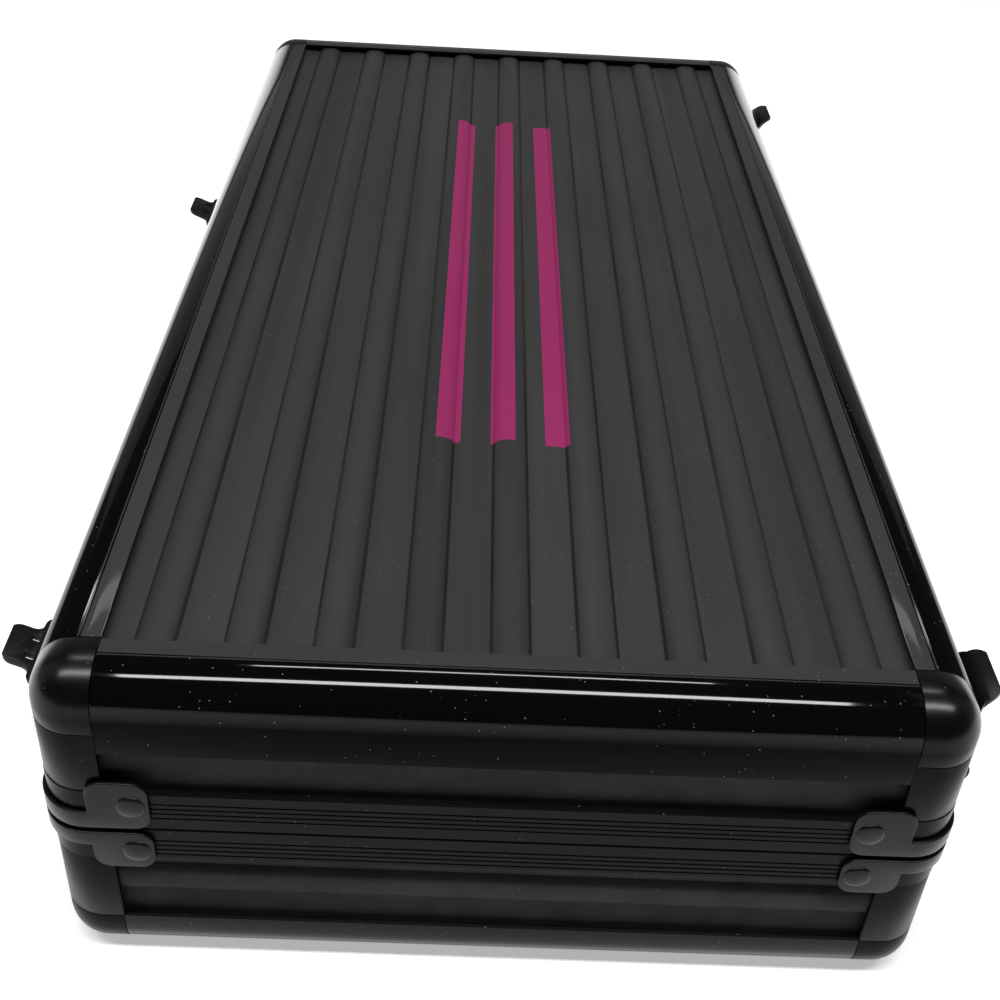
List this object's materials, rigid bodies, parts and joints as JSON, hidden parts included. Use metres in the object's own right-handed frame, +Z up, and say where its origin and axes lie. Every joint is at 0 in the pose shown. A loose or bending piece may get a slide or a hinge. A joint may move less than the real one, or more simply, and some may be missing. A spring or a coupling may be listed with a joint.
{
  "type": "keyboard hard case",
  "caption": "Framed hard case for a keyboard, with a hinged ribbed lid, riveted corners, lever latches, a swinging handle and a foam insert.",
  "frame": {"origin": "on the surface the case lies on, under the middle of its box, hinges and handle included", "axes": "+Z up, -Y towards the end nearest the camera in the picture, -X towards the hinges, +X towards the latches and the handle"},
  "size_m": [0.2656, 0.4384, 0.0948],
  "materials": {
    "ribbed_panel": "satin",
    "edge_profile": "gloss",
    "corner_piece": "gloss",
    "closure_frame": "satin",
    "corner_bracket": "satin",
    "hinge_leaf": "satin",
    "latch_sheet": "satin",
    "pin_steel": "satin",
    "handle_grip": "satin",
    "foam": "matte"
  },
  "bodies": {
    "base": {"base_bottom_panel": "ribbed_panel", "base_front_panel": "ribbed_panel", "base_front_edge": "edge_profile", "base_back_panel": "ribbed_panel", "base_back_edge": "edge_profile", "base_left_panel": "ribbed_panel", "base_left_edge": "edge_profile", "base_right_panel": "ribbed_panel", "base_right_edge": "edge_profile", "base_front_left_corner": "corner_piece", "base_front_left_bracket": "corner_bracket", "base_front_right_corner": "corner_piece", "base_front_right_bracket": "corner_bracket", "base_back_left_corner": "corner_piece", "base_back_left_bracket": "corner_bracket", "base_back_right_corner": "corner_piece", "base_back_right_bracket": "corner_bracket", "base_closure_frame": "closure_frame", "base_foam": "foam", "hinge_front_lower_leaf": "hinge_leaf", "hinge_front_pin": "pin_steel", "latch_front_keeper": "latch_sheet", "handle_front_bracket": "hinge_leaf", "hinge_back_lower_leaf": "hinge_leaf", "hinge_back_pin": "pin_steel", "latch_back_keeper": "latch_sheet", "handle_back_bracket": "hinge_leaf"},
    "lid": {"lid_top_panel": "ribbed_panel", "lid_front_panel": "ribbed_panel", "lid_front_edge": "edge_profile", "lid_back_panel": "ribbed_panel", "lid_back_edge": "edge_profile", "lid_left_panel": "ribbed_panel", "lid_left_edge": "edge_profile", "lid_right_panel": "ribbed_panel", "lid_right_edge": "edge_profile", "lid_front_left_corner": "corner_piece", "lid_front_left_bracket": "corner_bracket", "lid_front_right_corner": "corner_piece", "lid_front_right_bracket": "corner_bracket", "lid_back_left_corner": "corner_piece", "lid_back_left_bracket": "corner_bracket", "lid_back_right_corner": "corner_piece", "lid_back_right_bracket": "corner_bracket", "lid_closure_frame": "closure_frame", "lid_foam": "foam", "hinge_front_upper_leaf": "hinge_leaf", "latch_front_plate": "latch_sheet", "hinge_back_upper_leaf": "hinge_leaf", "latch_back_plate": "latch_sheet"},
    "latch_lever_front": {"latch_front_lever": "latch_sheet"},
    "latch_hook_front": {"latch_front_hook": "pin_steel"},
    "latch_lever_back": {"latch_back_lever": "latch_sheet"},
    "latch_hook_back": {"latch_back_hook": "pin_steel"},
    "handle": {"handle_bail": "pin_steel", "handle_grip": "handle_grip"}
  },
  "joints": [
    {"name": "lid_hinge", "type": "hinge", "parent": "base", "child": "lid", "pos_m": [-0.10873, 0, 0.0485], "axis": [0, -1, 0], "range_deg": [0, 120]},
    {"name": "latch_lever_front_turn", "type": "hinge", "parent": "lid", "child": "latch_lever_front", "pos_m": [0.12107, -0.1847, 0.056], "axis": [0, 1, 0], "range_deg": [0, 100]},
    {"name": "latch_hook_front_turn", "type": "hinge", "parent": "latch_lever_front", "child": "latch_hook_front", "pos_m": [0.11987, -0.1847, 0.063], "axis": [0, 1, 0], "range_deg": [-100, 0]},
    {"name": "latch_lever_back_turn", "type": "hinge", "parent": "lid", "child": "latch_lever_back", "pos_m": [0.12107, 0.1847, 0.056], "axis": [0, 1, 0], "range_deg": [0, 100]},
    {"name": "latch_hook_back_turn", "type": "hinge", "parent": "latch_lever_back", "child": "latch_hook_back", "pos_m": [0.11987, 0.1847, 0.063], "axis": [0, 1, 0], "range_deg": [-100, 0]},
    {"name": "handle_swing", "type": "hinge", "parent": "base", "child": "handle", "pos_m": [0.12107, 0, 0.042], "axis": [0, -1, 0], "range_deg": [0, 110]}
  ],
  "couplings": [
    {"joint": "latch_hook_front_turn", "follows": "latch_lever_front_turn", "ratio": -1},
    {"joint": "latch_hook_back_turn", "follows": "latch_lever_back_turn", "ratio": -1}
  ]
}
